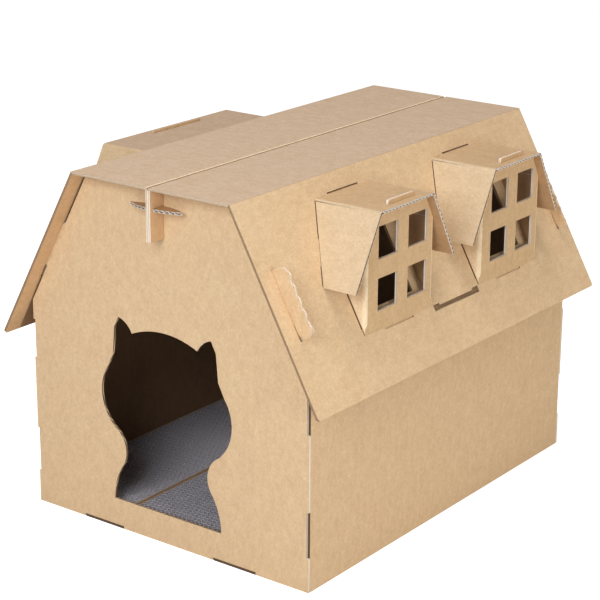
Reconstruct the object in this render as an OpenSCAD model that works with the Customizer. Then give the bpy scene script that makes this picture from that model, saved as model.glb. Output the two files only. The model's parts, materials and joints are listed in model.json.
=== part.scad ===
// Corrugated cardboard cat house with a flat-topped gambrel roof and dormer windows.
// Flat sheets slot together. Origin: middle of the footprint, on the floor. +X right, +Y back, +Z up.

/* [House] */
// Width over the two side walls
house_w = 400; // [380:1:430]
// Length over the two gables
house_l = 534; // [520:1:640]
// Thickness of the corrugated board
board = 3; // [2:0.5:4]
// Clearance between slotted sheets
fit_gap = 0.3; // [0.2:0.1:0.5]

/* [Roof] */
// Height of the flat roof top
roof_h = 424; // [400:1:480]
// Width of the flat roof top, crease to crease
roof_top_w = 223; // [200:1:240]
// Lean of the roof slopes, in degrees from vertical
slope_lean = 29; // [26:0.5:32]
// Length of a roof slope, crease to lower edge
slope_len = 241; // [236:1:270]
// Reach of the roof past each gable
roof_overhang = 22; // [18:1:34]
// Corner radius at the lower corners of a slope
slope_corner_r = 4; // [2:0.5:12]
// Gap left in the crease
crease_gap = 0.2; // [0.1:0.1:0.4]

/* [Ridge] */
// Depth of the ridge flaps, from the roof top
web_drop = 61; // [52:1:80]
// Depth of the notch that hooks each flap over a gable
web_notch = 11.5; // [8:0.5:16]
// Length of a ridge key
key_len = 75; // [60:1:90]
// Strip of flap left in front of a key
key_strip = 4.4; // [3:0.2:6]
// Depth of a key's top below the roof top
key_drop = 24; // [18:1:30]

/* [Gables] */
// Height of the lowest corner finger
foot_finger_h = 40; // [30:1:60]
// Height of the lower finger slot, between the lowest and the middle finger
low_slot_h = 54; // [40:1:70]
// Height of the upper finger slot, between the middle and the top finger
high_slot_h = 47; // [35:1:60]
// Height of the top corner finger, up to the wall's top
top_finger_h = 28; // [20:1:40]
// How far the walls' fingers stop short of a gable's outer face
finger_short = 2.4; // [0.5:0.1:2.6]
// Gap between a gable's slanted edges and the slopes over them
gable_gap = 2.5; // [0.3:0.1:3]
// Distance of an ear from the crease, down the slope
ear_start = 78; // [60:1:90]
// Length of an ear's root
ear_root = 62; // [50:1:70]
// Reach of the front right ear past the slope
long_ear_out = 20; // [16:1:26]
// Reach of the other ears past the slope
short_ear_out = 15; // [14:1:20]
// Length of the hook below an ear's root
ear_hook = 18; // [10:1:24]
// Clearance under the hook
ear_lift = 0.5; // [0.4:0.1:2]
// Radius of an ear's upper corner
ear_corner_r = 13; // [4:0.5:13.5]
// Width of a floor tab
floor_tab_w = 60; // [40:1:80]
// Distance of a floor tab from the middle
floor_tab_x = 97; // [70:1:120]

/* [Doorway] */
// Height of the sill
door_sill = 36; // [32:1:60]
// Radius of the rounded shoulders, centred on the sill
shoulder_r = 79; // [70:1:85]
// Radius of a cheek
cheek_r = 53; // [48:0.5:55]
// Distance of a cheek's centre from the middle
cheek_x = 42; // [38:0.5:44]
// Height of the cheek centres above the sill
cheek_z = 130; // [125:1:145]
// Radius of the neck's hollows
neck_r = 31.5; // [26:0.5:38]
// Radius of the top of the head
crown_r = 115; // [95:1:130]
// Height of the crown above the sill
crown_z = 218; // [205:1:225]
// Distance of an ear's tip from the middle
ear_tip_x = 67; // [62:1:72]
// Height of an ear's tip above the crown
ear_tip_rise = 5.5; // [2:0.5:12]
// Distance between the middle and the inner foot of an ear
ear_foot_x = 47.5; // [40:0.5:52]
// Radius of the rounded inner side of an ear
ear_inner_r = 28; // [24:1:60]
// Distance between the middle and the outer foot of an ear
ear_side_x = 76.5; // [72:0.5:82]
// Height of the outer foot of an ear above the sill
ear_side_z = 178; // [176:1:186]
// Where the outer side of an ear bends: its share of the way up to the tip
ear_bend_up = 0.72; // [0.6:0.02:0.8]
// Where the outer side of an ear bends: its share of the way in to the tip
ear_bend_in = 0.3; // [0.2:0.02:0.45]

/* [Dormers] */
// Distance of the windows' feet from the crease, right slope
right_foot = 181; // [170:1:190]
// Distance of the window's foot from the crease, left slope
left_foot = 218; // [200:1:230]
// Middle between the two right dormers
right_dormer_mid = 9.75; // [0:0.25:20]
// Spacing of the two right dormers
right_dormer_pitch = 229.5; // [226:0.5:250]
// Middle of the left dormer
left_dormer_mid = 7; // [0:1:15]
// Depth of the hood tops below the roof top
hood_drop = 20; // [15:1:30]
// Width of a right hood's top
right_hood_w = 102; // [90:1:106]
// Width of the left hood's top
left_hood_w = 236; // [200:1:260]
// Reach of a hood past its window
hood_lip = 10.5; // [6:0.5:16]
// Lean of a hood's wings, in degrees from vertical
wing_lean = 29; // [24:0.5:30]
// Height of a hood's wings
wing_h = 81; // [70:1:90]
// Depth to which the hood tabs reach through the slope
hood_tab_depth = 8; // [5:0.5:12]
// Start of the upper wing tab, down the slope
wing_tab_top = 26; // [24:1:32]
// Length of the upper wing tab
wing_tab_long = 38; // [25:1:44]
// Start of the lower wing tab, down the slope
wing_tab_low = 94; // [85:1:98]
// Length of the lower wing tab
wing_tab_short = 18; // [10:1:22]
// Width of the tab at a hood's back edge
back_tab_w = 55; // [40:1:70]

/* [Windows] */
// Width that a window stands out past its hood's top, both sides together
window_spread = 29; // [24:1:32]
// How far a window sits back of its hood's middle
window_shift = 3; // [0:0.5:4]
// Width of a pane
pane_w = 37; // [32:0.5:40]
// Height of a pane
pane_h = 37; // [32:0.5:42]
// Width of the bars between panes, side by side
mullion = 20; // [16:0.5:24]
// Height of the bar between panes, one above the other
transom = 21.5; // [16:0.5:26]
// Height of the lowest pane above the window's foot
pane_sill = 22.5; // [18:0.5:30]
// How far the panes sit back of the right windows' middle
pane_shift = 4.5; // [0:0.5:5]
// Columns of panes in the left window
left_columns = 4; // [2:1:4]
// Height of a pane in the left window
left_pane_h = 46; // [38:1:54]
// Width of the tab through a right hood's top
right_crest_w = 51; // [40:1:70]
// Height of that tab above a right hood
right_crest_h = 5; // [3:0.5:8]
// Width of the tab through the left hood's top
left_crest_w = 89; // [60:1:110]
// Height of that tab above the left hood
left_crest_h = 3; // [2:0.5:6]
// Width of the tab at a window's foot
foot_tab_w = 53; // [40:1:70]
// Length of the tab at the foot of a cheek
cheek_tab_len = 46; // [30:1:60]

/* [Slope openings] */
// Play of a dormer's tabs in the slope's slits
slit_gap = 1; // [0.4:0.1:1.4]
// Extra opening of the slit behind a hood, up the slope
back_slit_h = 2; // [1:0.5:5]
// Start of the opening behind a dormer, down the slope
hatch_top = 45; // [40:1:55]
// End of the opening behind a dormer, down the slope
hatch_foot = 156; // [140:1:160]
// Strip of slope left between an opening and a hood's side line
hatch_inset = 4.5; // [3:0.5:10]
// Length of the locking slot between the right dormers
lock_slot_len = 93; // [70:1:94]
// Height of the locking slot
lock_slot_h = 5; // [3:0.5:7]
// Width of the notches at the slot's ends
lock_notch_w = 12; // [8:1:16]
// Height of those notches above the slot
lock_notch_h = 2.4; // [1:0.2:4]
// Width of the wall's flange behind the slot
flange_w = 28; // [20:1:40]

/* [Pads] */
// Height of the scratching pads
pad_h = 24; // [15:1:30]
// Gap between the pads and the walls
pad_gap = 1; // [0.5:0.5:3]
// Gap between two pads
pad_seam = 3; // [1:0.5:5]
// Width of the left pad
left_pad_w = 134; // [110:1:150]

/* [Hidden] */
$fn = 96;

kraft = [0.80, 0.66, 0.48];
kraft_pale = [0.86, 0.74, 0.58];
kraft_shade = [0.74, 0.61, 0.46];
pad_grey = [0.56, 0.53, 0.55];

half_w = house_w / 2;
half_l = house_l / 2;
roof_half_l = half_l + roof_overhang;
crease_x = roof_top_w / 2;
down_x = sin(slope_lean);
down_z = cos(slope_lean);
far = house_l + house_w + roof_h;

// Point at distance a down the right slope and n out of its outer face, as [x, z]
function slope_point(a, n) = [crease_x + down_x * a + down_z * n, roof_h - down_z * a + down_x * n];
// Distance down the slope at which a line n out of the outer face has the given x or z
function slope_at_x(x, n) = (x - crease_x - down_z * n) / down_x;
function slope_at_z(z, n) = (roof_h - z + down_x * n) / down_z;

seat_n = -(board + fit_gap);              // the line on which the walls carry the slopes
wall_top_a = slope_at_x(half_w, seat_n);
wall_top_z = slope_point(wall_top_a, seat_n)[1];
gable_top_z = roof_h - board - fit_gap;
// Finger slots of the corners, as [start, height]
FINGER_SLOTS = [[foot_finger_h, low_slot_h], [wall_top_z - top_finger_h - high_slot_h, high_slot_h]];
ear_tip_a = ear_start + ear_root + ear_hook;
// Radius of a hook's round end, and what an ear reaches from the crease as the slope swings off it
function ear_end_r(out) = (out - ear_lift) / 2;
function ear_sweep(out) = norm([ear_tip_a - ear_end_r(out), ear_lift + ear_end_r(out)]) + ear_end_r(out);
key_w = roof_overhang - key_strip - fit_gap;
key_y = half_l + fit_gap + key_w / 2;
key_z = roof_h - key_drop - board;
hood_z = roof_h - hood_drop;
wing_foot_z = hood_z - wing_h;
lock_slot_a = slope_at_x(half_w, 0) + fit_gap * 2;
lock_mid = right_dormer_mid + window_shift;
pads_l = house_l - 2 * board - 2 * pad_gap;
pads_x = board - half_w + pad_gap;
pad_w = (-2 * pads_x - left_pad_w - 2 * pad_seam) / 2;     // the other two pads share the rest

// The frame of the right slope: X down the slope, Y along the house, Z out of its outer face
module slope_frame() {
    translate([crease_x, 0, roof_h]) rotate([0, 90 - slope_lean, 0]) children();
}

// A flat outline in the gable plane, [x, z], seen as [down the slope, out of the slope]
module slope_line_frame() {
    translate([crease_x, roof_h]) rotate(slope_lean - 90) children();
}

// An outline in X and Z, extruded along Y between two places
module along_y(from, to) {
    translate([0, to, 0]) rotate([90, 0, 0]) linear_extrude(to - from) children();
}

// An outline in Y and Z, extruded along X between two places
module along_x(from, to) {
    translate([from, 0, 0]) rotate([90, 0, 90]) linear_extrude(to - from) children();
}

// Cat head and shoulders, as the doorway's outline
module doorway_outline() {
    reach_cheek = cheek_r + neck_r;
    reach_body = shoulder_r + neck_r;
    span = norm([cheek_x, cheek_z]);
    along = (reach_body * reach_body - reach_cheek * reach_cheek + span * span) / (2 * span);
    aside = sqrt(reach_body * reach_body - along * along);
    neck_x = (cheek_x * along + cheek_z * aside) / span;
    neck_z = (cheek_z * along - cheek_x * aside) / span;
    translate([0, door_sill]) {
        difference() {
            union() {
                intersection() {
                    circle(shoulder_r);
                    translate([-shoulder_r, 0]) square([2 * shoulder_r, shoulder_r]);
                }
                polygon([[0, 0], [neck_x, neck_z], [cheek_x, cheek_z],
                         [-cheek_x, cheek_z], [-neck_x, neck_z]]);
                both_sides_flat() translate([cheek_x, cheek_z]) circle(cheek_r);
            }
            // A little larger, so that the neck crosses both circles instead of only touching them
            both_sides_flat() translate([neck_x, neck_z]) circle(neck_r + fit_gap);
        }
        intersection() {
            translate([0, crown_z - crown_r]) circle(crown_r);
            translate([-ear_foot_x, cheek_z]) square([2 * ear_foot_x, crown_z]);
        }
        both_sides_flat() cat_ear_outline();
    }
}

module both_sides_flat() {
    children();
    mirror([1, 0]) children();
}

// One pointed ear of the doorway: its inner side is an arc, its outer side is bent and runs on to the cheek
module cat_ear_outline() {
    foot = [ear_foot_x, crown_z - crown_r + sqrt(crown_r * crown_r - ear_foot_x * ear_foot_x)];
    tip_z = crown_z + ear_tip_rise;
    tip = [ear_tip_x, tip_z];
    half_side = norm(tip - foot) / 2;
    inward = [foot[1] - tip[1], tip[0] - foot[0]] / (2 * half_side);
    arc_drop = sqrt(ear_inner_r * ear_inner_r - half_side * half_side);
    arc_rise = inward * ear_inner_r;
    bend_x = ear_side_x - (ear_side_x - ear_tip_x) * ear_bend_in;
    bend_z = ear_side_z + (tip_z - ear_side_z) * ear_bend_up;
    side_reach = norm([ear_side_x - cheek_x, ear_side_z - cheek_z]);
    touch = atan2(ear_side_z - cheek_z, ear_side_x - cheek_x) - acos(cheek_r / side_reach);
    // Just inside the cheek, so that the side crosses its circle instead of only touching it
    sunk_r = cheek_r - 2 * fit_gap;
    polygon([foot, tip, [bend_x, bend_z], [ear_side_x, ear_side_z],
             [cheek_x + sunk_r * cos(touch), cheek_z + sunk_r * sin(touch)], [cheek_x, cheek_z]]);
    intersection() {
        translate((foot + tip) / 2 - inward * arc_drop) circle(ear_inner_r);
        polygon([foot, tip, tip + arc_rise, foot + arc_rise]);
    }
}

// The gable sheet's outline without its doorway, with the reach of its right ear
module gable_outline(right_ear_out) {
    edge_n = -(board + gable_gap);
    top_x = slope_point(slope_at_z(gable_top_z, edge_n), edge_n)[0];
    side_z = slope_point(slope_at_x(half_w, edge_n), edge_n)[1];
    finger_in = half_w - board - fit_gap;
    difference() {
        union() {
            polygon([[-half_w, 0], [half_w, 0], [half_w, side_z], [top_x, gable_top_z],
                     [-top_x, gable_top_z], [-half_w, side_z]]);
            slope_line_frame() ear_outline(right_ear_out);
            mirror([1, 0]) slope_line_frame() ear_outline(short_ear_out);
        }
        both_sides_flat() {
            for (slot = FINGER_SLOTS) translate([finger_in, slot[0]]) square([half_w, slot[1]]);
            translate([floor_tab_x - floor_tab_w / 2 - fit_gap, -board])
                square([floor_tab_w + 2 * fit_gap, 2 * board + fit_gap]);
        }
        translate([-board - fit_gap, roof_h - web_drop + web_notch])
            square([2 * (board + fit_gap), web_drop]);
    }
}

// One hooked ear that reaches out past the slope, in the frame of the slope line
module ear_outline(out) {
    end_r = ear_end_r(out);
    end_a = ear_tip_a - end_r;
    corner_a = ear_start + ear_corner_r;
    translate([ear_start, seat_n - board]) square([ear_root, board - seat_n + ear_lift + fit_gap]);
    translate([ear_start, ear_lift]) square([end_a - ear_start, out - ear_lift - ear_corner_r]);
    translate([corner_a, ear_lift]) square([end_a - corner_a, out - ear_lift]);
    translate([corner_a, out - ear_corner_r]) circle(ear_corner_r);
    translate([end_a, ear_lift + end_r]) circle(end_r);
}

module floor_panel() {
    in_w = half_w - board;
    in_l = half_l - board;
    color(kraft) {
        translate([-in_w, -in_l, 0]) cube([2 * in_w, 2 * in_l, board]);
        for (x = [-floor_tab_x, floor_tab_x])
            translate([x - floor_tab_w / 2, -half_l, 0]) cube([floor_tab_w, house_l, board]);
    }
}

module front_gable() {
    color(kraft) along_y(-half_l, board - half_l) difference() {
        gable_outline(long_ear_out);
        doorway_outline();
    }
}

module rear_gable() {
    color(kraft) along_y(half_l - board, half_l) gable_outline(short_ear_out);
}

// Right-hand wall with its corner fingers and the flange folded in under the slope
module side_wall() {
    in_x = half_w - board;
    flange_out = slope_point(wall_top_a, seat_n);
    flange_end = slope_point(wall_top_a - flange_w, seat_n);
    flange_end_in = slope_point(wall_top_a - flange_w, seat_n - board);
    flange_in = slope_point(slope_at_x(in_x, seat_n - board), seat_n - board);
    flange_half = lock_slot_len / 2 + board;
    in_l = half_l - board;
    finger_l = half_l - finger_short;
    translate([in_x, -in_l, 0]) cube([board, 2 * in_l, wall_top_z]);
    for (slot = FINGER_SLOTS) translate([in_x, -finger_l, slot[0] + fit_gap])
        cube([board, 2 * finger_l, slot[1] - 2 * fit_gap]);
    along_y(lock_mid - flange_half, lock_mid + flange_half)
        polygon([[half_w, wall_top_z - board], flange_out, flange_end, flange_end_in, flange_in,
                 [in_x, wall_top_z - board]]);
}

module right_wall() {
    color(kraft_shade) side_wall();
}

module left_wall() {
    color(kraft_shade) mirror([1, 0, 0]) side_wall();
}

// Right-hand roof top, with the flap that is folded down along the ridge
module roof_top() {
    mitre_a = slope_at_z(roof_h - board, -board);
    mitre = slope_point(mitre_a, -board);
    web_z = roof_h - web_drop;
    slot_y = half_l - board / 2;
    difference() {
        along_y(-roof_half_l, roof_half_l)
            polygon([[0, roof_h], [crease_x, roof_h], mitre, [board, roof_h - board],
                     [board, web_z], [0, web_z]]);
        for (side = [-1, 1]) {
            translate([-board, side * slot_y - board / 2 - fit_gap, web_z - board])
                cube([3 * board, board + 2 * fit_gap, board + web_notch + fit_gap]);
            translate([-board, side * key_y - (key_w + fit_gap) / 2, key_z - fit_gap])
                cube([3 * board, key_w + fit_gap, board + 2 * fit_gap]);
        }
    }
}

module right_roof_top() {
    color(kraft_shade) roof_top();
}

module left_roof_top() {
    color(kraft_shade) mirror([1, 0, 0]) roof_top();
}

// Lens-shaped key across the web in front of a gable
module ridge_key(y) {
    half = key_len / 2;
    arc_r = (half * half + key_w * key_w / 4) / key_w;
    color(kraft_pale) translate([0, y, key_z]) linear_extrude(board) intersection() {
        translate([0, arc_r - key_w / 2]) circle(arc_r);
        translate([0, key_w / 2 - arc_r]) circle(arc_r);
    }
}

module front_ridge_key() {
    ridge_key(-key_y);
}

module rear_ridge_key() {
    ridge_key(key_y);
}

// Half-width of a hood's sheet at height z, measured d in from its outer face
function hood_half(w, z, d) = w / 2 + (hood_z - z) * tan(wing_lean) - d / cos(wing_lean);

function window_x(foot) = crease_x + down_x * foot;

// Space inside a hood, d in from its outer face
module hood_inside(y, w, d) {
    top = hood_z - d;
    foot = wing_foot_z - board;
    translate([y, 0]) polygon([[hood_half(w, foot, d), foot], [hood_half(w, top, d), top],
                               [-hood_half(w, top, d), top], [-hood_half(w, foot, d), foot]]);
}

// A hood's bent sheet before it meets the slope, thicker by grow on each face
module hood_sheet(y, w, foot, grow) {
    along_x(crease_x - board, window_x(foot) + hood_lip) difference() {
        hood_inside(y, w, -grow);
        hood_inside(y, w, board + grow);
        translate([y - w - far, wing_foot_z - far]) square([2 * (w + far), far - grow]);
    }
}

// Where a hood's tabs pass the slope, larger by grow
module hood_tabs(y, w, depth, grow) {
    wide = w + 2 * wing_h;
    for (tab = [[wing_tab_top, wing_tab_long], [wing_tab_low, wing_tab_short]])
        for (side = [0, 1]) mirror_about(y, side)
            slope_frame() translate([tab[0] - grow, y + back_tab_w / 2 + board, -depth])
                cube([tab[1] + 2 * grow, wide, depth + board]);
    slope_frame() translate([0, y - back_tab_w / 2 - grow, -depth])
        cube([slope_at_z(hood_z, 0) + 4 * board, back_tab_w + 2 * grow, depth + board]);
}

module mirror_about(y, side) {
    translate([0, y, 0]) mirror([0, side, 0]) translate([0, -y, 0]) children();
}

module outside_slope() {
    slope_frame() translate([-far, -far, 0]) cube([2 * far, 2 * far, far]);
}

// Dormer hood on the right-hand slope, with a slot for the window's crest tab
module hood(y, w, foot, crest_w) {
    wx = window_x(foot);
    difference() {
        intersection() {
            hood_sheet(y, w, foot, 0);
            union() {
                outside_slope();
                hood_tabs(y, w, hood_tab_depth, 0);
            }
        }
        translate([wx - board - fit_gap, y + window_shift - crest_w / 2 - fit_gap, hood_z - 2 * board])
            cube([board + 2 * fit_gap, crest_w + 2 * fit_gap, 3 * board]);
    }
}

// A window's bent sheet before it meets the slope, thicker by grow on each face
module window_sheet(y, w, foot, grow) {
    wx = window_x(foot);
    low = roof_h - down_z * foot - 4 * board;
    translate([0, 0, low]) linear_extrude(hood_z - low) difference() {
        translate([crease_x - board, y - w / 2 - grow])
            square([wx - crease_x + board + grow, w + 2 * grow]);
        translate([crease_x - 2 * board, y - w / 2 + board + grow])
            square([wx - crease_x + board - grow, w - 2 * board - 2 * grow]);
    }
}

// Where a window's tabs pass the slope, larger by grow
module window_tabs(y, w, foot, grow) {
    cross_in = board / sin(slope_lean);
    cross_out = board / tan(slope_lean);
    slope_frame() {
        translate([foot - cross_in - board, y - foot_tab_w / 2 - grow, -board])
            cube([cross_in + cross_out + 2 * board, foot_tab_w + 2 * grow, 2 * board]);
        translate([foot - cross_in - board - cheek_tab_len - grow, y - w, -board])
            cube([cheek_tab_len + 2 * grow, 2 * w, 2 * board]);
    }
}

// Dormer window on the right-hand slope: a front with panes, and a cheek folded back at each side
module window(hood_y, hood_w, foot, crest, columns, pane_y, pane_tall) {
    y = hood_y + window_shift;
    w = hood_w + window_spread;
    wx = window_x(foot);
    foot_z = roof_h - down_z * foot;
    row_w = columns * pane_w + (columns - 1) * mullion;
    difference() {
        union() {
            intersection() {
                window_sheet(y, w, foot, 0);
                union() {
                    outside_slope();
                    window_tabs(y, w, foot, 0);
                }
                union() {
                    along_x(crease_x, wx + board) hood_inside(hood_y, hood_w, board + fit_gap);
                    translate([crease_x, y - w, foot_z - far])
                        cube([wx, 2 * w, far + wing_foot_z - foot_z]);
                }
            }
            translate([wx - board, y - crest[0] / 2, hood_z - 2 * board])
                cube([board, crest[0], 2 * board + crest[1]]);
        }
        for (column = [0 : columns - 1], row = [0, 1])
            translate([wx - 2 * board, y + pane_y - row_w / 2 + column * (pane_w + mullion),
                       foot_z + pane_sill + row * (pane_tall + transom)])
                cube([3 * board, pane_w, pane_tall]);
    }
}

// What a dormer's tabs and its opening cut out of the slope
module dormer_cuts(y, hood_w, foot) {
    w = hood_w + window_spread;
    back_w = back_tab_w + 2 * slit_gap;
    intersection() {
        hood_sheet(y, hood_w, foot, slit_gap);
        hood_tabs(y, hood_w, 2 * board, slit_gap);
    }
    intersection() {
        window_sheet(y + window_shift, w, foot, slit_gap);
        window_tabs(y + window_shift, w, foot, slit_gap);
    }
    slope_frame() {
        translate([hatch_top, y - hood_w / 2 + hatch_inset, -2 * board])
            cube([hatch_foot - hatch_top, hood_w - 2 * hatch_inset, 3 * board]);
        translate([slope_at_z(hood_z, 0) - back_slit_h, y - back_w / 2, -2 * board])
            cube([back_slit_h + board, back_w, 3 * board]);
    }
}

// Slot between the right windows that shows the wall's flange
module lock_slot() {
    start_y = lock_mid - lock_slot_len / 2;
    slope_frame() {
        translate([lock_slot_a, start_y, -2 * board]) cube([lock_slot_h, lock_slot_len, 3 * board]);
        for (side = [0, 1]) mirror_about(lock_mid, side)
            translate([lock_slot_a - lock_notch_h, start_y, -2 * board])
                cube([lock_slot_h, lock_notch_w, 3 * board]);
    }
}

// Right-hand slope sheet with the slots for the gable ears
module slope_sheet() {
    mitre_a = slope_at_z(roof_h - board, -board);
    r = slope_corner_r;
    slot_w = board + 2 * fit_gap;
    slot_end = max(ear_sweep(long_ear_out), ear_sweep(short_ear_out));
    difference() {
        slope_frame() intersection() {
            translate([0, roof_half_l, 0]) rotate([90, 0, 0]) linear_extrude(2 * roof_half_l)
                polygon([[crease_gap, 0], [slope_len, 0], [slope_len, -board],
                         [mitre_a + crease_gap, -board]]);
            translate([0, 0, -2 * board]) linear_extrude(3 * board) union() {
                translate([0, -roof_half_l]) square([slope_len - r, 2 * roof_half_l]);
                translate([0, r - roof_half_l]) square([slope_len, 2 * (roof_half_l - r)]);
                for (side = [-1, 1]) translate([slope_len - r, side * (roof_half_l - r)]) circle(r);
            }
        }
        for (side = [-1, 1]) slope_frame()
            translate([ear_start - fit_gap, side * (half_l - board / 2) - slot_w / 2, -2 * board])
                cube([slot_end - ear_start + 2 * fit_gap, slot_w, 3 * board]);
    }
}

function right_dormer_y(i) = right_dormer_mid + (i - 0.5) * right_dormer_pitch;

module right_roof_slope() {
    color(kraft) difference() {
        slope_sheet();
        lock_slot();
        for (i = [0, 1]) dormer_cuts(right_dormer_y(i), right_hood_w, right_foot);
    }
}

module left_roof_slope() {
    color(kraft) mirror([1, 0, 0]) difference() {
        slope_sheet();
        dormer_cuts(left_dormer_mid, left_hood_w, left_foot);
    }
}

module right_front_hood() {
    color(kraft_pale) hood(right_dormer_y(0), right_hood_w, right_foot, right_crest_w);
}

module right_rear_hood() {
    color(kraft_pale) hood(right_dormer_y(1), right_hood_w, right_foot, right_crest_w);
}

module right_window(y) {
    window(y, right_hood_w, right_foot, [right_crest_w, right_crest_h], 2, pane_shift, pane_h);
}

module right_front_window() {
    color(kraft) right_window(right_dormer_y(0));
}

module right_rear_window() {
    color(kraft) right_window(right_dormer_y(1));
}

module left_hood() {
    color(kraft_pale) mirror([1, 0, 0]) hood(left_dormer_mid, left_hood_w, left_foot, left_crest_w);
}

module left_window() {
    color(kraft) mirror([1, 0, 0])
        window(left_dormer_mid, left_hood_w, left_foot, [left_crest_w, left_crest_h],
               left_columns, 0, left_pane_h);
}

module pad(x, w) {
    color(pad_grey) translate([x, -pads_l / 2, board]) cube([w, pads_l, pad_h]);
}

module left_pad() {
    pad(pads_x, left_pad_w);
}

module middle_pad() {
    pad(pads_x + left_pad_w + pad_seam, pad_w);
}

module right_pad() {
    pad(-pads_x - pad_w, pad_w);
}

floor_panel();
front_gable();
rear_gable();
left_wall();
right_wall();
left_roof_top();
right_roof_top();
left_roof_slope();
right_roof_slope();
front_ridge_key();
rear_ridge_key();
right_front_hood();
right_front_window();
right_rear_hood();
right_rear_window();
left_hood();
left_window();
left_pad();
middle_pad();
right_pad();
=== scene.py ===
import bpy
import bmesh
import json
import math
from mathutils import Matrix, Vector
from mathutils.bvhtree import BVHTree


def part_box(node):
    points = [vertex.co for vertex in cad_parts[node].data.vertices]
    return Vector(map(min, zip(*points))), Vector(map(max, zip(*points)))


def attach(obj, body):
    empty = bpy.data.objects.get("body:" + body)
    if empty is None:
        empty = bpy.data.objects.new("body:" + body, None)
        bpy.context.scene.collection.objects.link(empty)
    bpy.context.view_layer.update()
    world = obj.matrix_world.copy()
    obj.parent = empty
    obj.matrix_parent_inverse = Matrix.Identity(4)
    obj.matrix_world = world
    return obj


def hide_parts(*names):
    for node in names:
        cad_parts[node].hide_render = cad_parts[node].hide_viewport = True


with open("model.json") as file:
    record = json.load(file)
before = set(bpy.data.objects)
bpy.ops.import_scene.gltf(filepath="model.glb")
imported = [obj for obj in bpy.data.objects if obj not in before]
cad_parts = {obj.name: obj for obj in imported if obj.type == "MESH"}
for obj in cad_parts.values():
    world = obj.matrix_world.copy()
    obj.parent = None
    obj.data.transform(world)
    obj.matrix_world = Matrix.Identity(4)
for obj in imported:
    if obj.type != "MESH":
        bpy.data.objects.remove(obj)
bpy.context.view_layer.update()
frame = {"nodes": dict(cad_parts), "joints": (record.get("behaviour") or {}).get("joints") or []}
scene = bpy.context.scene
scene.view_settings.view_transform = "Standard"
print("frame loaded:", len(frame["nodes"]), "nodes")

# camera, fitted to the corners of the house in the photo
camera = {
    "lens": 114.76,
    "sensor": 36,
    "azimuth": 36.96,
    "elevation": 18.36,
    "roll": 0.29,
    "target": (-0.0868, 0.0964, 0.18),
    "distance": 2.446,
}


def sightWay(azimuth, elevation):
    # from the house towards the camera or a lamp
    turn = math.radians(azimuth)
    rise = math.radians(elevation)
    return Vector((math.sin(turn) * math.cos(rise), -math.cos(turn) * math.cos(rise), math.sin(rise)))


def placeCamera(look):
    data = bpy.data.cameras.new("photoCamera")
    data.lens = look["lens"]
    data.sensor_width = look["sensor"]
    roll = math.radians(look["roll"])
    back = sightWay(look["azimuth"], look["elevation"])
    right = Vector((0, 0, 1)).cross(back).normalized()
    up = back.cross(right)
    turnedRight = math.cos(roll) * right + math.sin(roll) * up
    turnedUp = math.cos(roll) * up - math.sin(roll) * right
    place = Matrix((turnedRight, turnedUp, back)).transposed().to_4x4()
    place.translation = Vector(look["target"]) + back * look["distance"]
    made = bpy.data.objects.new("photoCamera", data)
    made.matrix_world = place
    scene.collection.objects.link(made)
    scene.camera = made


placeCamera(camera)
print("camera placed")


# a socket value is linked when it is another node's output, and set when it is a constant
def addNode(tree, kind, sockets, **settings):
    made = tree.nodes.new(kind)
    for key, value in settings.items():
        setattr(made, key, value)
    for key, value in sockets.items():
        if isinstance(value, bpy.types.NodeSocket):
            tree.links.new(value, made.inputs[key])
        else:
            made.inputs[key].default_value = value
    return made


def newMaterial(name):
    made = bpy.data.materials.new(name)
    made.use_nodes = True
    made.node_tree.nodes.clear()
    return made, made.node_tree


def spread(tree, value, low, high, start=0.3, stop=0.7):
    # noise lies mostly between 0.3 and 0.7
    return addNode(tree, "ShaderNodeMapRange", {"Value": value, "From Min": start, "From Max": stop,
                                                "To Min": low, "To Max": high}).outputs[0]


def stretchedNoise(tree, place, scale, detail, rough=0.55):
    moved = addNode(tree, "ShaderNodeMapping", {"Vector": place, "Scale": scale})
    return addNode(tree, "ShaderNodeTexNoise", {"Vector": moved.outputs[0], "Scale": 1.0, "Detail": detail,
                                                "Roughness": rough}).outputs[0]


def mixTones(tree, factor, first, second):
    ramp = addNode(tree, "ShaderNodeValToRGB", {"Fac": factor})
    ramp.color_ramp.elements[0].color = (*first, 1)
    ramp.color_ramp.elements[1].color = (*second, 1)
    return ramp.outputs[0]


def shaded(tree, tone, light):
    return addNode(tree, "ShaderNodeVectorMath", {0: tone, "Scale": light}, operation="SCALE").outputs[0]


paperSurface = {"specular": 0.2, "bumpHeight": 0.0002}


def finishPaper(tree, colour, rough, height, strength):
    bump = addNode(tree, "ShaderNodeBump", {"Height": height, "Strength": strength,
                                            "Distance": paperSurface["bumpHeight"]})
    surface = addNode(tree, "ShaderNodeBsdfPrincipled", {"Base Color": colour, "Roughness": rough,
                                                         "Specular IOR Level": paperSurface["specular"],
                                                         "Normal": bump.outputs[0]})
    addNode(tree, "ShaderNodeOutputMaterial", {"Surface": surface.outputs[0]})


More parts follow.
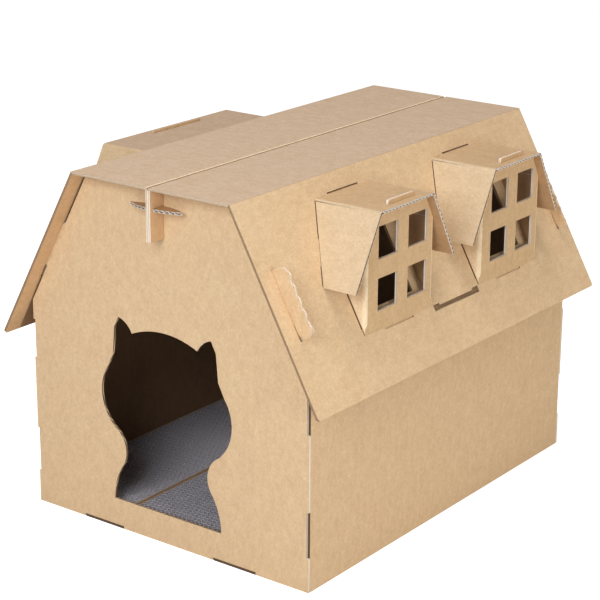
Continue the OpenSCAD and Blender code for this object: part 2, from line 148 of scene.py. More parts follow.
# kraft papers: two tones that cloud into each other, under a grain that all of them share
kraftPapers = {
    "wallPaper": {"base": (0.70, 0.50, 0.29), "cloud": (0.665, 0.455, 0.265)},
    "slopePaper": {"base": (0.70, 0.505, 0.30), "cloud": (0.645, 0.445, 0.256)},
    "topPaper": {"base": (0.625, 0.465, 0.32), "cloud": (0.58, 0.42, 0.275)},
    # painted shade and light: each hood is one folded sheet, its top painted darker and its wings painted
    # lighter for how light falls on each face
    "hoodTopPaper": {"base": (0.61, 0.415, 0.23), "cloud": (0.555, 0.37, 0.20)},
    "leftHoodPaper": {"base": (0.56, 0.405, 0.27), "cloud": (0.51, 0.36, 0.24)},
    "leftWingPaper": {"base": (0.60, 0.435, 0.258), "cloud": (0.55, 0.39, 0.225)},
    # painted shade: the inner faces of the hoods and right windows are painted darker than their board
    "hoodInner": {"base": (0.53, 0.33, 0.172), "cloud": (0.47, 0.287, 0.145), "bump": 0.25},
    "frontWingPaper": {"base": (0.66, 0.50, 0.32), "cloud": (0.60, 0.445, 0.275)},
    "wingPaper": {"base": (0.72, 0.56, 0.37), "cloud": (0.66, 0.50, 0.32)},
    # painted shade and light: a window is one folded sheet, its front painted darker for the hood's shade
    # and its cheeks painted lighter as if lit
    "windowPaper": {"base": (0.65, 0.44, 0.24), "cloud": (0.60, 0.40, 0.215)},
    "cheekPaper": {"base": (0.84, 0.65, 0.43), "cloud": (0.79, 0.60, 0.38)},
    # painted shade: the wall flanges behind the slope slots are painted dark brown
    "flangePaper": {"base": (0.34, 0.21, 0.11), "cloud": (0.28, 0.17, 0.09)},
    "keyPaper": {"base": (0.50, 0.30, 0.15), "cloud": (0.44, 0.26, 0.13)},
    # painted shade: inner faces inside the house are painted much darker than the board; overhangPaper is
    # the same inner liner painted lit where it reaches past the gables
    "innerPaper": {"base": (0.33, 0.195, 0.105), "cloud": (0.285, 0.165, 0.088), "bump": 0.25},
    "overhangPaper": {"base": (0.68, 0.45, 0.25), "cloud": (0.62, 0.40, 0.215), "bump": 0.25},
    # painted highlight: rounded folds are painted pale as if lit
    "foldPaper": {"base": (0.86, 0.69, 0.46), "cloud": (0.79, 0.61, 0.39), "bump": 0.3},
}
kraftNoise = {     # scales per metre, across the flutes and along them
    "cloud": {"scale": (48, 30, 1), "detail": 4, "rough": 0.65},
    "mottle": {"scale": (420, 260, 1), "detail": 3},
    "blotch": {"scale": (150, 85, 1), "detail": 2},
    "fibre": {"scale": (2100, 420, 1), "detail": 4, "rough": 0.65},
    "fleck": {"scale": (900, 520, 1), "detail": 2},
}
kraftTints = {"fibre": 0.10, "mottle": 0.08, "blotch": 0.06}     # how strongly each noise shows
kraftSwing = (0.8, 1.0, 1.25)     # the grain swings most in blue
kraftFleck = {"low": 1.0, "high": 0.75, "start": 0.70, "stop": 0.78}     # only the noise's peaks are dark
kraftRough = (0.78, 0.92)
kraftBump = 0.2


def tinted(tree, tone, noise, amount):
    low = [1 - amount * swing for swing in kraftSwing]
    high = [1 + amount * swing for swing in kraftSwing]
    vectors = {0: spread(tree, noise, 0, 1), 4: low, 5: high}     # inputs 4 and 5 are the two vectors
    tint = addNode(tree, "ShaderNodeMix", vectors, data_type="VECTOR").outputs[1]
    return addNode(tree, "ShaderNodeVectorMath", {0: tone, 1: tint}, operation="MULTIPLY").outputs[0]


def kraftPaper(name, paper):
    made, tree = newMaterial(name)
    sheet = addNode(tree, "ShaderNodeUVMap", {}, uv_map="sheet").outputs[0]
    noise = {layer: stretchedNoise(tree, sheet, **look) for layer, look in kraftNoise.items()}
    tone = mixTones(tree, spread(tree, noise["cloud"], 0, 1), paper["base"], paper["cloud"])
    for layer, amount in kraftTints.items():
        tone = tinted(tree, tone, noise[layer], amount)
    fleckLight = spread(tree, noise["fleck"], **kraftFleck)
    rough = spread(tree, noise["mottle"], *kraftRough)
    finishPaper(tree, shaded(tree, tone, fleckLight), rough, noise["fibre"], paper.get("bump", kraftBump))
    return made


# torn paper of the cut edges, the fluted middles and the pads, on object coordinates; scales per metre
tornPapers = {
    "whiteCut": {"base": (0.93, 0.84, 0.74), "cloud": (0.84, 0.73, 0.61), "scale": 700},
    "kraftCut": {"base": (0.66, 0.49, 0.31), "cloud": (0.57, 0.41, 0.25), "scale": 700},
    "mauveCut": {"base": (0.64, 0.51, 0.39), "cloud": (0.55, 0.43, 0.32), "scale": 700},
    # painted shade: this brown cut paper is darkened as shade, on the slopes' edges, in the ridge groove and
    # in the hood wings' flutes
    "brownCut": {"base": (0.42, 0.28, 0.17), "cloud": (0.34, 0.22, 0.13), "scale": 700},
    # painted shade: near-black cut paper for slots, gaps, deep cuts and the feet of cheeks and wings
    "darkCut": {"base": (0.17, 0.10, 0.06), "cloud": (0.12, 0.07, 0.04), "scale": 700},
    "flutePaper": {"base": (0.92, 0.83, 0.72), "cloud": (0.84, 0.72, 0.58), "scale": 900},
    # painted light: the grey-lilac of these pad papers stands in for cool light on kraft strips; the pale
    # edge paper is a painted highlight and the darkest a painted shade
    "padPaper": {"base": (0.42, 0.385, 0.41), "cloud": (0.33, 0.30, 0.315), "scale": 420},
    "padLiner": {"base": (0.34, 0.305, 0.315), "cloud": (0.26, 0.225, 0.235), "scale": 380},
    "padEdgeHighlight": {"base": (0.88, 0.83, 0.87), "cloud": (0.66, 0.61, 0.64), "scale": 420},
    "padShade": {"base": (0.16, 0.14, 0.15), "cloud": (0.12, 0.10, 0.11), "scale": 380},
    "padEnd": {"base": (0.62, 0.41, 0.24), "cloud": (0.54, 0.35, 0.20), "scale": 380},
}
tornDetail = {"grain": 4, "fuzz": 3}     # of the two noises
tornFuzz = {"finer": 4, "light": (0.88, 1.1), "rough": (0.85, 0.95), "bump": 0.5}


def tornPaper(name, paper):
    made, tree = newMaterial(name)
    place = addNode(tree, "ShaderNodeTexCoord", {}).outputs["Object"]
    size = paper["scale"]
    fuzzSize = size * tornFuzz["finer"]
    grain = stretchedNoise(tree, place, (size, size, size), tornDetail["grain"])
    fuzz = stretchedNoise(tree, place, (fuzzSize, fuzzSize, fuzzSize), tornDetail["fuzz"])
    tone = mixTones(tree, spread(tree, grain, 0, 1), paper["base"], paper["cloud"])
    light = spread(tree, fuzz, *tornFuzz["light"])
    rough = spread(tree, fuzz, *tornFuzz["rough"])
    finishPaper(tree, shaded(tree, tone, light), rough, fuzz, tornFuzz["bump"])
    return made


papers = {name: kraftPaper(name, paper) for name, paper in kraftPapers.items()}
papers.update({name: tornPaper(name, paper) for name, paper in tornPapers.items()})
print("papers made:", len(papers))

# the ways that sheets face; slopes and hood wings lean alike
xAxis = Vector((1, 0, 0))
yAxis = Vector((0, 1, 0))
zAxis = Vector((0, 0, 1))
lean = math.radians(29)     # from the vertical


def leanDown(x, y):
    return Vector((x * math.sin(lean), y * math.sin(lean), -math.cos(lean)))


def leanOut(x, y):
    return Vector((x * math.cos(lean), y * math.cos(lean), math.sin(lean)))


rightDown, rightOut = leanDown(1, 0), leanOut(1, 0)
leftDown, leftOut = leanDown(-1, 0), leanOut(-1, 0)
rearWingDown, rearWingOut = leanDown(0, 1), leanOut(0, 1)
frontWingDown, frontWingOut = leanDown(0, -1), leanOut(0, -1)

# the board that every sheet is cut from
boardThick = 0.003
linerThick = 0.0004
fluteThick = 0.0003
flutePitch = 0.0064     # B flute
fluteSteps = 8     # faces along one flute
broadFace = 0.0035     # wider than any cut edge

# how faces and edges of a sheet are told apart; ways are compared by the cosine between them
sameWay = 0.999
squareWay = 0.02
nearlyAlong = 0.99
sameSpot = 1e-6
samePlane = 0.0001
slack = 1e-5
flatTurn = math.radians(0.3)
foldTurn = math.radians(20)


def reach(points, way):
    spots = [point.dot(way) for point in points]
    return min(spots), max(spots)


def edgeWay(edge):
    return (edge.verts[1].co - edge.verts[0].co).normalized()


def faceWidth(face):
    return 2 * face.calc_area() / face.calc_perimeter()


def boardCopy(node):
    bm = bmesh.new()
    bm.from_mesh(frame["nodes"][node].data)
    bmesh.ops.remove_doubles(bm, verts=bm.verts[:], dist=sameSpot)
    bmesh.ops.dissolve_limit(bm, angle_limit=flatTurn, verts=bm.verts[:], edges=bm.edges[:])
    bm.normal_update()
    return bm


def linerPlanes(bm, panels):
    # where the two faces of each sheet lie, taken from their broad faces
    planes = []
    for normal, across, paper in panels:
        for face in bm.faces:
            if abs(face.normal.dot(normal)) > sameWay and faceWidth(face) > broadFace:
                planes.append((normal, face.verts[0].co.dot(normal)))
    return planes


def isLiner(face, planes):
    place = face.verts[0].co
    return any(abs(face.normal.dot(normal)) > sameWay and abs(place.dot(normal) - offset) < samePlane
               for normal, offset in planes)


def isCut(face, panels):
    # a true cut stands square to its sheet; mitres at creases and feet don't
    return any(abs(face.normal.dot(normal)) < squareWay for normal, across, paper in panels)


def panelOf(face, panels):
    return max(panels, key=lambda panel: abs(face.normal.dot(panel[0])))


def foldEdges(bm, planes):
    return [edge for edge in bm.edges if len(edge.link_faces) == 2 and edge.is_convex
            and edge.calc_face_angle() > foldTurn
            and all(isLiner(face, planes) for face in edge.link_faces)]


def roundEdges(bm, edges, size, segments):
    made = bmesh.ops.bevel(bm, geom=edges, offset=size, offset_type="OFFSET", segments=segments,
                           profile=0.5, affect="EDGES", material=-1, clamp_overlap=True)
    return made["faces"]


def clearFolds(bm, planes, width):
    # a clean strip on both sides of each fold, so that the bevel meets no stray edge
    strips = {}
    for edge in foldEdges(bm, planes):
        for face in edge.link_faces:
            into = face.normal.cross(edgeWay(edge))
            if into.dot(face.calc_center_median() - edge.verts[0].co) < 0:
                into.negate()
            place = edge.verts[0].co + into * width
            key = tuple(round(value, 4) for value in (*into, place.dot(into)))
            strips[key] = (place, into, face.normal.copy())
    for face in bm.faces:
        face.material_index = 0
    for number, (place, into, normal) in enumerate(strips.values()):
        sheet = [face for face in bm.faces if face.normal.dot(normal) > sameWay]
        geom = {item for face in sheet for item in (face, *face.edges, *face.verts)}
        bmesh.ops.bisect_plane(bm, geom=list(geom), plane_co=place, plane_no=into)
        for face in bm.faces:
            if face.normal.dot(normal) > sameWay and into.dot(face.calc_center_median() - place) < 0:
                face.material_index = number + 1
    bmesh.ops.dissolve_limit(bm, angle_limit=flatTurn, verts=bm.verts[:], edges=bm.edges[:],
                             delimit={"MATERIAL"})
    bm.normal_update()


cornerSegments = 3


def roundCorners(bm, size):
    # the upper corners of the tabs that stand up through a hood
    top = max(vert.co.z for vert in bm.verts)
    corners = [edge for edge in bm.edges if all(vert.co.z > top - samePlane for vert in edge.verts)
               and abs(edgeWay(edge).dot(xAxis)) > nearlyAlong]
    roundEdges(bm, corners, size, cornerSegments)
    bm.normal_update()


# places on the house, taken from the frame
creases = {joint["name"]: Vector(joint["pos_m"]) for joint in frame["joints"] if joint["type"] == "hinge"}
rightCrease = creases["right_slope_crease"]
leftCrease = creases["left_slope_crease"]
gableMiddle = sum(corner[1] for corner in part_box("rear_gable")) / 2     # of the gables' thickness
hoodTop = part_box("left_hood")[1][2]     # all hoods end at this height
earStart = rightCrease.dot(rightOut) + boardThick / 2     # past the slopes' outer faces
earWave = {"pitch": 0.014, "steps": 6, "depth": 0.0022}


def scallopEars(bm):
    # the outer edge of each ear is cut in a shallow wave
    for out, down in ((rightOut, rightDown), (leftOut, leftDown)):
        outer = [face for face in bm.faces
                 if face.normal.dot(out) > sameWay and face.verts[0].co.dot(out) > earStart]
        for face in outer:
            rims = [edge for edge in face.edges if abs(edgeWay(edge).dot(down)) > nearlyAlong]
            start, stop = reach([vert.co for vert in face.verts], down)
            length = stop - start
            waves = max(1, round(length / earWave["pitch"]))
            made = bmesh.ops.subdivide_edges(bm, edges=rims, cuts=waves * earWave["steps"] - 1,
                                             use_grid_fill=True)
            for vert in {item for item in made["geom_inner"] if isinstance(item, bmesh.types.BMVert)}:
                turn = 2 * math.pi * waves * (vert.co.dot(down) - start) / length
                vert.co -= out * earWave["depth"] * (1 - math.cos(turn)) / 2
    bm.normal_update()


def splitBoard(bm, board):
    # an edge wherever the paper or the shape of a fold changes
    planes = [*board["splits"], *board["outdoors"], *board["footLines"], ((0, 0, board["foldStart"]), zAxis)]
    for place, across in planes:
        everything = bm.verts[:] + bm.edges[:] + bm.faces[:]
        bmesh.ops.bisect_plane(bm, geom=everything, plane_co=place, plane_no=across)


slotReach = 0.008     # every slot is narrower


def inSlot(face, tree, cuts):
    # a cut that looks at another cut of the same board, close by
    start = face.calc_center_median() + face.normal * slack
    found = tree.ray_cast(start, face.normal, slotReach)
    return found[2] is not None and found[2] in cuts


def cutPaperAt(place, boxes, plain):
    for low, high, paper in boxes:
        if all(start < spot < stop for start, spot, stop in zip(low, place, high)):
            return paper
    return plain


def paperNames(board):
    named = {panel[2] for panel in board["panels"]}
    named |= {box[2] for box in [*board["cutBoxes"], *board["slotBoxes"]]}
    named |= set(board["panelFlutes"].values())
    named |= {board["cut"], board["flute"], board["inner"], board["fold"], board["groove"] or board["fold"]}
    named |= {"overhangPaper", "darkCut"}
    return sorted(named)


sidewaysFace = 0.8     # cheeks and wings face along the house more than this


def layPapers(bm, board, planes, slots):
    # each face gets its paper, and the cuts that aren't in a slot are marked as opened
    panels = board["panels"]
    inside = Vector(board["inside"])
    bm.faces.index_update()
    cuts = {face.index for face in bm.faces if not isLiner(face, planes) and isCut(face, panels)}
    tree = BVHTree.FromBMesh(bm)
    opened = bm.faces.layers.int.new("opened")
    for face in bm.faces:
        middle = face.calc_center_median()
        paper = panelOf(face, panels)[2]
        if face.index in cuts:
            face[opened] = not inSlot(face, tree, cuts)
            if face[opened]:
                paper = cutPaperAt(middle, board["cutBoxes"], board["cut"])
            else:
                # painted shade inside the slots, unless a slot box names the paper
                paper = cutPaperAt(middle, board["slotBoxes"], "darkCut")
        elif isLiner(face, planes) and face.normal.dot(inside - face.verts[0].co) > 0:
            if not any((middle - place).dot(out) > 0 for place, out in board["outdoors"]):
                # painted shade on inner faces inside the house, and a lit tone on those past the gables
                paper = board["inner"] if abs(middle.y) < gableMiddle else "overhangPaper"
        # painted shadow line along the feet of the cheeks and wings
        elif any((middle - place).dot(out) < 0 for place, out in board["footLines"]):
            paper = "darkCut" if abs(face.normal.y) > sidewaysFace else paper
        face.material_index = slots.index(paper)
    return opened


foldSegments = 6
grooveStart = 0.85     # a rounded face steeper than this lies in the groove at the ridge, where it is painted as shade


def roundFolds(bm, board, planes, slots, opened):
    folds = [edge for edge in foldEdges(bm, planes)
             if min(vert.co.z for vert in edge.verts) > board["foldStart"] - slack]
    for face in roundEdges(bm, folds, board["foldSize"], foldSegments):
        # painted shade on the steep side of the ridge groove, painted highlight on the rest of a fold
        steep = board["groove"] and face.normal.z < grooveStart
        face.material_index = slots.index(board["groove"] if steep else board["fold"])
        face[opened] = 0
        face.smooth = True


gapRim = 0.00002     # a step too thin to be seen


def openCuts(bm, ends, recess, shadeIndex):
    # the liners' rims stand proud of the middle; a deep cut is painted as shade between its flutes
    deep = recess > boardThick / 2
    bmesh.ops.inset_region(bm, faces=ends, thickness=linerThick, depth=0 if deep else -recess,
                           use_even_offset=False, use_boundary=True)
    if deep:
        made = bmesh.ops.inset_region(bm, faces=ends, thickness=gapRim, depth=-recess,
                                      use_even_offset=False, use_boundary=True)
        for face in [*ends, *made["faces"]]:
            face.material_index = shadeIndex


def newMesh(name, bm):
    made = bpy.data.meshes.new(name)
    bm.to_mesh(made)
    bm.free()
    return made


def newObject(name, bm):
    made = bpy.data.objects.new(name, newMesh(name, bm))
    scene.collection.objects.link(made)
    return made


def dropObject(gone):
    mesh = gone.data
    bpy.data.objects.remove(gone)
    bpy.data.meshes.remove(mesh)


def addMesh(bm, mesh, paperIndex):
    for polygon in mesh.polygons:
        polygon.material_index = paperIndex
    bm.from_mesh(mesh)
    bpy.data.meshes.remove(mesh)


def wavyPaper(columns, place, across, swing, shift, thick):
    # a flat strip, put in its place and then waved at the pitch of the flutes
    bm = bmesh.new()
    bmesh.ops.create_grid(bm, x_segments=columns, y_segments=1, size=0.5)     # one metre square
    bmesh.ops.transform(bm, matrix=place, verts=bm.verts[:])
    for vert in bm.verts:
        vert.co += swing * math.sin(2 * math.pi * vert.co.dot(across) / flutePitch + shift)
    bmesh.ops.recalc_face_normals(bm, faces=bm.faces[:])
    bmesh.ops.solidify(bm, geom=bm.faces[:], thickness=thick)
    return bm


sheetMargin = 0.002     # a flute sheet is made this much too large, then trimmed


def fluteSheet(faces, normal, across, offset, thick):
    # one wavy sheet of paper, as large as a panel, in the panel's middle
    along = normal.cross(across)
    corners = [vert.co for face in faces for vert in face.verts]
    left, right = reach(corners, across)
    near, far = reach(corners, along)
    columns = max(fluteSteps, round((right - left) / flutePitch * fluteSteps))
    width = across * (right - left + sheetMargin)
    length = along * (far - near + sheetMargin)
    place = Matrix((width, length, normal)).transposed().to_4x4()
    place.translation = across * (left + right) / 2 + along * (near + far) / 2 \
        + normal * (offset - boardThick / 2 + thick / 2)
    swing = normal * ((boardThick - thick) / 2 - linerThick)
    return newObject("fluteSheet", wavyPaper(columns, place, across, swing, 0, thick))


def fluteMiddle(board, folded):
    # the wavy sheets trimmed to the folded board's outline, each with its paper
    sheets = []
    for normal, across, paper in board["panels"]:
        flute = board["panelFlutes"].get(paper, board["flute"])
        outer = {}
        for face in folded.faces:
            whole = faceWidth(face) > broadFace and face.calc_center_median().z > board["foldStart"]
            if face.normal.dot(normal) > sameWay and whole:
                outer.setdefault(round(face.verts[0].co.dot(normal), 4), []).append(face)
        for offset, faces in outer.items():
            sheets.append((fluteSheet(faces, normal, across, offset, board["fluteThick"]), flute))
    solid = newObject("boardSolid", folded)
    trimmed = []
    for sheet, flute in sheets:
        cut = sheet.modifiers.new("trim", "BOOLEAN")
        cut.operation = "INTERSECT"
        cut.solver = "EXACT"
        cut.object = solid
        shown = sheet.evaluated_get(bpy.context.evaluated_depsgraph_get())
        trimmed.append((bpy.data.meshes.new_from_object(shown), flute))
    for sheet, flute in sheets:
        dropObject(sheet)
    dropObject(solid)
    return trimmed


def mapSheet(bm, panels):
    # each face is laid out flat in metres: across the flutes, then along them
    layer = bm.loops.layers.uv.new("sheet")
    for face in bm.faces:
        normal, across, paper = panelOf(face, panels)
        along = normal.cross(across)
        for loop in face.loops:
            loop[layer].uv = (loop.vert.co.dot(across), loop.vert.co.dot(along))


stripShare = 1.3     # width of the clean strip beside a fold, in fold sizes


def dressBoard(board):
    node, panels = board["node"], board["panels"]
    slots = paperNames(board)
    bm = boardCopy(node)
    planes = linerPlanes(bm, panels)
    if board["foldSize"]:
        clearFolds(bm, planes, board["foldSize"] * stripShare)
    if board["cornerSize"]:
        roundCorners(bm, board["cornerSize"])
    if board["wavyEars"]:
        scallopEars(bm)
    splitBoard(bm, board)
    opened = layPapers(bm, board, planes, slots)
    if board["foldSize"]:
        roundFolds(bm, board, planes, slots, opened)
    bm.normal_update()
    folded = bm.copy()
    ends = [face for face in bm.faces if face[opened]]
    openCuts(bm, ends, board["recess"], slots.index("darkCut"))
    mapSheet(bm, panels)
    for mesh, flute in fluteMiddle(board, folded):
        addMesh(bm, mesh, slots.index(flute))
    made = newObject(board["name"], bm)
    for paper in slots:
        made.data.materials.append(papers[paper])
    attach(made, board["body"])
    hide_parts(node)
    print("board", board["name"], len(made.data.polygons), "faces")


# panels: which way a sheet faces, the way across its flutes, and its paper
gablePanels = [(yAxis, xAxis, "wallPaper")]
rightWallPanels = [(xAxis, yAxis, "wallPaper"), (rightOut, yAxis, "flangePaper")]
leftWallPanels = [(xAxis, yAxis, "wallPaper"), (leftOut, yAxis, "flangePaper")]
floorPanels = [(zAxis, xAxis, "wallPaper")]
topPanels = [(zAxis, yAxis, "topPaper"), (xAxis, yAxis, "topPaper")]
rightSlopePanels = [(rightOut, rightDown, "slopePaper")]
leftSlopePanels = [(leftOut, leftDown, "slopePaper")]
keyPanels = [(zAxis, xAxis, "keyPaper")]
rightHoodPanels = [(zAxis, yAxis, "hoodTopPaper"), (rearWingOut, rearWingDown, "wingPaper"),
                   (frontWingOut, frontWingDown, "frontWingPaper")]
leftHoodPanels = [(zAxis, yAxis, "leftHoodPaper"), (rearWingOut, rearWingDown, "wingPaper"),
                  (frontWingOut, frontWingDown, "leftWingPaper")]
windowPanels = [(xAxis, yAxis, "windowPaper"), (yAxis, xAxis, "cheekPaper")]

# planes, each a point and the way it faces
webTop = 0.4205     # just under the sheet of the flat roof
cheekShadeHeight = 0.0011     # height of the painted shadow line where a dormer's cheek meets the slope
wingShadeHeight = 0.0005     # and of the one where a hood's wing does
ridgeFoot = ((0, 0, webTop), zAxis)
overhangs = [((0, -gableMiddle, 0), yAxis), ((0, gableMiddle, 0), yAxis)]
earPlanes = [(rightCrease, rightOut), (leftCrease, leftOut)]     # ears stand out of the slopes
tabPlanes = [(Vector((0, 0, hoodTop)), zAxis)]     # tabs stand out of the hoods
rightCheekLine = (rightCrease + cheekShadeHeight * rightOut, rightOut)
leftCheekLine = (leftCrease + cheekShadeHeight * leftOut, leftOut)
rightWingLine = (rightCrease + wingShadeHeight * rightOut, rightOut)
leftWingLine = (leftCrease + wingShadeHeight * leftOut, leftOut)

# boxes, each two corners and the paper of the cuts in it; wide ones reach past the house on both sides
past = 0.3
earSlotStart = 0.25
doorRim = ((-0.1, -0.27, 0.02), (0.1, -0.26, 0.29), "darkCut")     # in the shade of the doorway
webEnds = ((-0.01, -past, 0.3), (0.01, past, webTop), "whiteCut")     # paler than the roof's edges
frontEarSlot = ((-past, -past, 0.2), (past, -earSlotStart, 0.4), "kraftCut")
rearEarSlot = ((-past, earSlotStart, 0.2), (past, past, 0.4), "kraftCut")
rightPaneRims = ((0.18, -past, 0.28), (0.22, past, 0.40), "whiteCut")
rightTabRims = ((0.18, -past, 0.40), (0.22, past, 0.42), "whiteCut")
leftPaneRims = ((-0.24, -past, 0.248), (-0.20, past, 0.38), "whiteCut")

# what sheets have unless their own dictionary says otherwise; each names its own cut and flute papers
plainBoard = {
    "body": "house",
    "slot": "wall_board",
    "inside": (0, 0, 0.2),     # inner faces look towards this point
    "recess": 0.0006,     # from the liners' rims down to the flutes in a cut
    "fluteThick": fluteThick,
    "foldSize": 0,     # how far a rounded fold reaches
    "foldStart": 0,     # folds are sharp below this height
    "cornerSize": 0,     # rounding of a tab's corners
    "wavyEars": False,
    "splits": [],     # planes that only part the papers
    "outdoors": [],     # planes past which an inner face is in the open
    "footLines": [],     # planes below which cheeks and wings are painted as shade
    "cutBoxes": [],
    "slotBoxes": [],
    "inner": "innerPaper",
    "fold": "foldPaper",
    "groove": None,     # painted-shade paper of a fold's steep side, where it isn't the fold's
    "panelFlutes": {},     # panels whose flutes have a paper of their own
}

dormerInside = {"out": 0.1, "height": 0.3}     # a point behind the middle of a dormer


def insideDormer(node, side):
    low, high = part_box(node)
    return side * dormerInside["out"], (low[1] + high[1]) / 2, dormerInside["height"]


frontGable = {**plainBoard, "name": "frontGableBoard", "node": "front_gable", "panels": gablePanels,
              "wavyEars": True, "outdoors": earPlanes, "cut": "whiteCut", "cutBoxes": [doorRim],
              "flute": "kraftCut"}
rearGable = {**plainBoard, "name": "rearGableBoard", "node": "rear_gable", "panels": gablePanels,
             "wavyEars": True, "outdoors": earPlanes, "cut": "whiteCut", "flute": "kraftCut"}
# painted shade: the right wall's and the floor's cut edges and flutes are painted near-black
rightWall = {**plainBoard, "name": "rightWallBoard", "node": "right_wall", "panels": rightWallPanels,
             "foldSize": 0.001, "cut": "darkCut", "flute": "darkCut"}
leftWall = {**plainBoard, "name": "leftWallBoard", "node": "left_wall", "panels": leftWallPanels,
            "foldSize": 0.001, "cut": "kraftCut", "flute": "kraftCut"}
floorPanel = {**plainBoard, "name": "floorBoard", "node": "floor_panel", "panels": floorPanels,
              "cut": "darkCut", "flute": "darkCut"}

roofTop = {**plainBoard, "slot": "roof_board", "panels": topPanels, "foldSize": 0.0034,
           "splits": [ridgeFoot, *overhangs], "cut": "mauveCut", "cutBoxes": [webEnds],
           "groove": "brownCut", "flute": "kraftCut"}
rightTop = {**roofTop, "name": "rightTopBoard", "node": "right_roof_top", "inside": (0.05, 0, 0.2)}
leftTop = {**roofTop, "name": "leftTopBoard", "node": "left_roof_top", "inside": (-0.05, 0, 0.2)}

# painted shade: the slopes' cut edges and flutes are painted brown
roofSlope = {**plainBoard, "slot": "roof_board", "splits": overhangs, "cut": "brownCut",
             "slotBoxes": [frontEarSlot, rearEarSlot], "flute": "brownCut"}
rightSlope = {**roofSlope, "name": "rightSlopeBoard", "node": "right_roof_slope", "body": "right_slope",
              "panels": rightSlopePanels}
leftSlope = {**roofSlope, "name": "leftSlopeBoard", "node": "left_roof_slope", "body": "left_slope",
             "panels": leftSlopePanels}

ridgeKey = {**plainBoard, "slot": "hood_board", "panels": keyPanels, "recess": 0.0018, "cut": "whiteCut",
            "flute": "flutePaper"}
frontKey = {**ridgeKey, "name": "frontKeyBoard", "node": "front_ridge_key", "body": "front_key"}
rearKey = {**ridgeKey, "name": "rearKeyBoard", "node": "rear_ridge_key", "body": "rear_key"}

dormerHood = {**plainBoard, "slot": "hood_board", "recess": 0.0025, "foldSize": 0.0028, "cut": "whiteCut",
              "flute": "flutePaper", "fluteThick": 0.0008, "inner": "hoodInner"}
# painted light: the hoods' rounded folds take the lit tone of their front wings
rightHood = {**dormerHood, "body": "right_slope", "panels": rightHoodPanels, "footLines": [rightWingLine],
             "fold": "frontWingPaper", "panelFlutes": {"frontWingPaper": "brownCut"}}
rightFrontHood = {**rightHood, "name": "rightFrontHoodBoard", "node": "right_front_hood",
                  "inside": insideDormer("right_front_hood", 1)}
rightRearHood = {**rightHood, "name": "rightRearHoodBoard", "node": "right_rear_hood",
                 "inside": insideDormer("right_rear_hood", 1)}
leftHood = {**dormerHood, "name": "leftHoodBoard", "node": "left_hood", "body": "left_slope",
            "panels": leftHoodPanels, "inside": insideDormer("left_hood", -1), "footLines": [leftWingLine],
            "fold": "leftWingPaper", "panelFlutes": {"leftWingPaper": "brownCut"}}

dormerWindow = {**plainBoard, "slot": "roof_board", "panels": windowPanels, "recess": 0.0003,
                "foldSize": 0.0045, "cornerSize": 0.0025, "outdoors": tabPlanes, "cut": "kraftCut",
                "flute": "kraftCut"}
rightWindow = {**dormerWindow, "body": "right_slope", "foldStart": 0.278, "footLines": [rightCheekLine],
               "cutBoxes": [rightPaneRims, rightTabRims], "inner": "hoodInner"}
rightFrontWindow = {**rightWindow, "name": "rightFrontWindowBoard", "node": "right_front_window",
                    "inside": insideDormer("right_front_window", 1)}
rightRearWindow = {**rightWindow, "name": "rightRearWindowBoard", "node": "right_rear_window",
                   "inside": insideDormer("right_rear_window", 1)}
leftWindow = {**dormerWindow, "name": "leftWindowBoard", "node": "left_window", "body": "left_slope",
              "inside": insideDormer("left_window", -1), "foldStart": 0.246, "footLines": [leftCheekLine],
              "cutBoxes": [leftPaneRims]}

for board in (frontGable, rearGable, rightWall, leftWall, floorPanel, rightTop, leftTop, rightSlope,
              leftSlope, frontKey, rearKey, rightFrontHood, rightRearHood, leftHood, rightFrontWindow,
              rightRearWindow, leftWindow):
    dressBoard(board)

# scratching pads: strips of board on edge, with their flutes open to the top and kraft board at both sides
pads = {
    "steps": 6,     # faces along one flute
    "liner": 0.0006,
    "paper": 0.0006,
    "end": 0.0015,     # the board at a pad's left and right side
    "shift": 2.4,     # radians from one strip's wave to the next
    "upward": 0.9,     # faces that look up more than this are edges
}
padPapers = ["padPaper", "padLiner", "padEnd", "padShade", "padEdgeHighlight"]
leftPad = {"name": "leftPadStrips", "node": "left_pad", "depth": 0.0018, "strip": 0.0046}
middlePad = {"name": "middlePadStrips", "node": "middle_pad", "depth": 0.005, "strip": 0.0065}
rightPad = {"name": "rightPadStrips", "node": "right_pad", "depth": 0.005, "strip": 0.0065}


def stripWave(y, left, right, top, pad, shift):
    # one strip's wavy paper, standing on the pad's base; shift keeps neighbours out of step
    columns = round((right - left) / flutePitch * pads["steps"])
    place = Matrix(((right - left, 0, 0, (left + right) / 2), (0, 0, 1, y),
                    (0, pad["depth"], 0, top - pad["depth"] / 2), (0, 0, 0, 1)))
    swing = yAxis * ((pad["strip"] - pads["liner"] - pads["paper"]) / 2)
    return newMesh("stripWave", wavyPaper(columns, place, xAxis, swing, shift, pads["paper"]))


def padBlock(bm, low, high, paper):
    made = bmesh.ops.create_cube(bm, size=1)
    bmesh.ops.scale(bm, vec=high - low, verts=made["verts"])
    bmesh.ops.translate(bm, vec=(low + high) / 2, verts=made["verts"])
    for face in {face for vert in made["verts"] for face in vert.link_faces}:
        face.material_index = padPapers.index(paper)


def brightenEdges(bm):
    # painted highlight on the upper edges of the strips, where they catch the light
    stripPapers = [padPapers.index("padPaper"), padPapers.index("padLiner")]
    bm.normal_update()
    for face in bm.faces:
        if face.material_index in stripPapers and face.normal.z > pads["upward"]:
            face.material_index = padPapers.index("padEdgeHighlight")


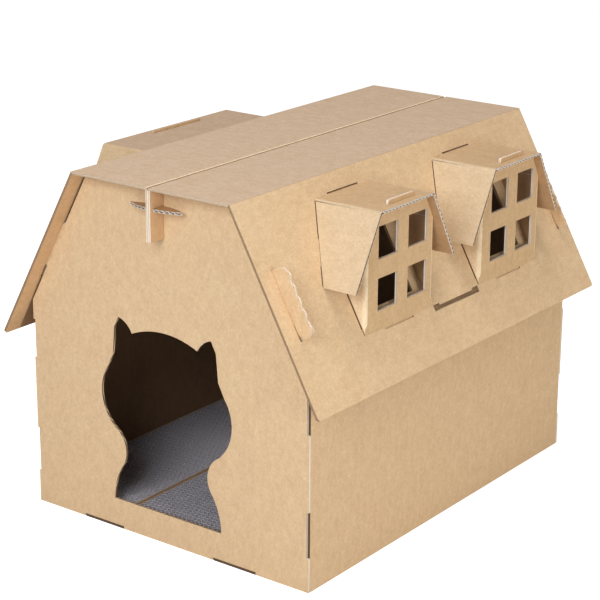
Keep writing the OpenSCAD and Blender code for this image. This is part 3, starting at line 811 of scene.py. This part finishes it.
def scratchPad(pad):
    low, high = (Vector(corner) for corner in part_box(pad["node"]))
    base = high.z - pad["depth"]
    left, right = low.x + pads["end"], high.x - pads["end"]
    bm = bmesh.new()
    # the base between the waves is painted as shade
    padBlock(bm, Vector((left, low.y, low.z)), Vector((right, high.y, base)), "padShade")
    padBlock(bm, low, Vector((left, high.y, high.z)), "padEnd")
    padBlock(bm, Vector((right, low.y, low.z)), high, "padEnd")
    strips = round((high.y - low.y) / pad["strip"])
    pitch = (high.y - low.y) / strips
    for number in range(1, strips):
        middle = low.y + number * pitch
        padBlock(bm, Vector((left, middle - pads["liner"] / 2, base)),
                 Vector((right, middle + pads["liner"] / 2, high.z)), "padLiner")
    for number in range(strips):
        wave = stripWave(low.y + (number + 0.5) * pitch, left, right, high.z, pad, number * pads["shift"])
        addMesh(bm, wave, padPapers.index("padPaper"))
    brightenEdges(bm)
    piece = newObject(pad["name"], bm)
    for paper in padPapers:
        piece.data.materials.append(papers[paper])
    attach(piece, pad["node"])
    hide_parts(pad["node"])
    print("pad", pad["name"], len(piece.data.polygons), "faces")


for pad in (leftPad, middlePad, rightPad):
    scratchPad(pad)

# studio: a white floor that keeps the shadow, an even white world and soft boxes
studio = {"floorSize": 12, "floorDrop": 0.0002, "floorGrey": 0.8, "world": 0.25, "lift": 0.75}
frontBox = {"name": "frontBox", "azimuth": 14, "elevation": 28, "distance": 2.6, "size": 1.2,
            "power": 38.5, "colour": (0.90, 0.94, 1.0), "aim": (0, 0, 0.2)}
topBox = {"name": "topBox", "azimuth": 0, "elevation": 85, "distance": 2.6, "size": 1.2,
          "power": 26.5, "colour": (1.0, 0.96, 0.98), "aim": (0, 0, 0.2)}
sideBox = {"name": "sideBox", "azimuth": 84, "elevation": 12, "distance": 2.3, "size": 1.2,
           "power": 19.5, "colour": (1.0, 0.97, 0.92), "aim": (0.1, -0.25, 0.2)}
white = (1, 1, 1, 1)


def softBox(look):
    data = bpy.data.lights.new(look["name"], "AREA")
    data.size = look["size"]
    data.energy = look["power"]
    data.color = look["colour"]
    back = sightWay(look["azimuth"], look["elevation"])
    lamp = bpy.data.objects.new(look["name"], data)
    lamp.location = Vector(look["aim"]) + back * look["distance"]
    lamp.rotation_mode = "QUATERNION"
    lamp.rotation_quaternion = back.to_track_quat("Z", "Y")
    scene.collection.objects.link(lamp)


def seenRays(tree):
    # 1 for the rays that show the background, in the picture or in gloss and glass
    path = addNode(tree, "ShaderNodeLightPath", {}).outputs
    seen = path["Is Camera Ray"]
    for ray in ("Is Glossy Ray", "Is Transmission Ray"):
        seen = addNode(tree, "ShaderNodeMath", {0: seen, 1: path[ray]}, operation="MAXIMUM").outputs[0]
    return seen


def studioFloor(look):
    bm = bmesh.new()
    bmesh.ops.create_grid(bm, x_segments=2, y_segments=2, size=look["floorSize"] / 2)
    bmesh.ops.translate(bm, vec=(0, 0, -look["floorDrop"]), verts=bm.verts[:])
    made, tree = newMaterial("studioFloor")
    grey = look["floorGrey"]
    plain = addNode(tree, "ShaderNodeBsdfDiffuse", {"Color": (grey, grey, grey, 1)})
    lift = addNode(tree, "ShaderNodeEmission", {"Color": white, "Strength": look["lift"]})
    bright = addNode(tree, "ShaderNodeAddShader", {0: plain.outputs[0], 1: lift.outputs[0]})
    mixed = {0: seenRays(tree), 1: plain.outputs[0], 2: bright.outputs[0]}
    both = addNode(tree, "ShaderNodeMixShader", mixed)
    addNode(tree, "ShaderNodeOutputMaterial", {"Surface": both.outputs[0]})
    floor = newObject("studioFloor", bm)
    floor.data.materials.append(made)


def studioWorld(look):
    world = bpy.data.worlds.new("studioWorld")
    scene.world = world
    world.use_nodes = True
    tree = world.node_tree
    tree.nodes.clear()
    light = addNode(tree, "ShaderNodeBackground", {"Color": white, "Strength": look["world"]})
    shown = addNode(tree, "ShaderNodeBackground", {"Color": white, "Strength": 1.0})
    mixed = {0: seenRays(tree), 1: light.outputs[0], 2: shown.outputs[0]}
    both = addNode(tree, "ShaderNodeMixShader", mixed)
    addNode(tree, "ShaderNodeOutputWorld", {"Surface": both.outputs[0]})


studioFloor(studio)
studioWorld(studio)
for lampBox in (frontBox, topBox, sideBox):
    softBox(lampBox)
print("studio lit")
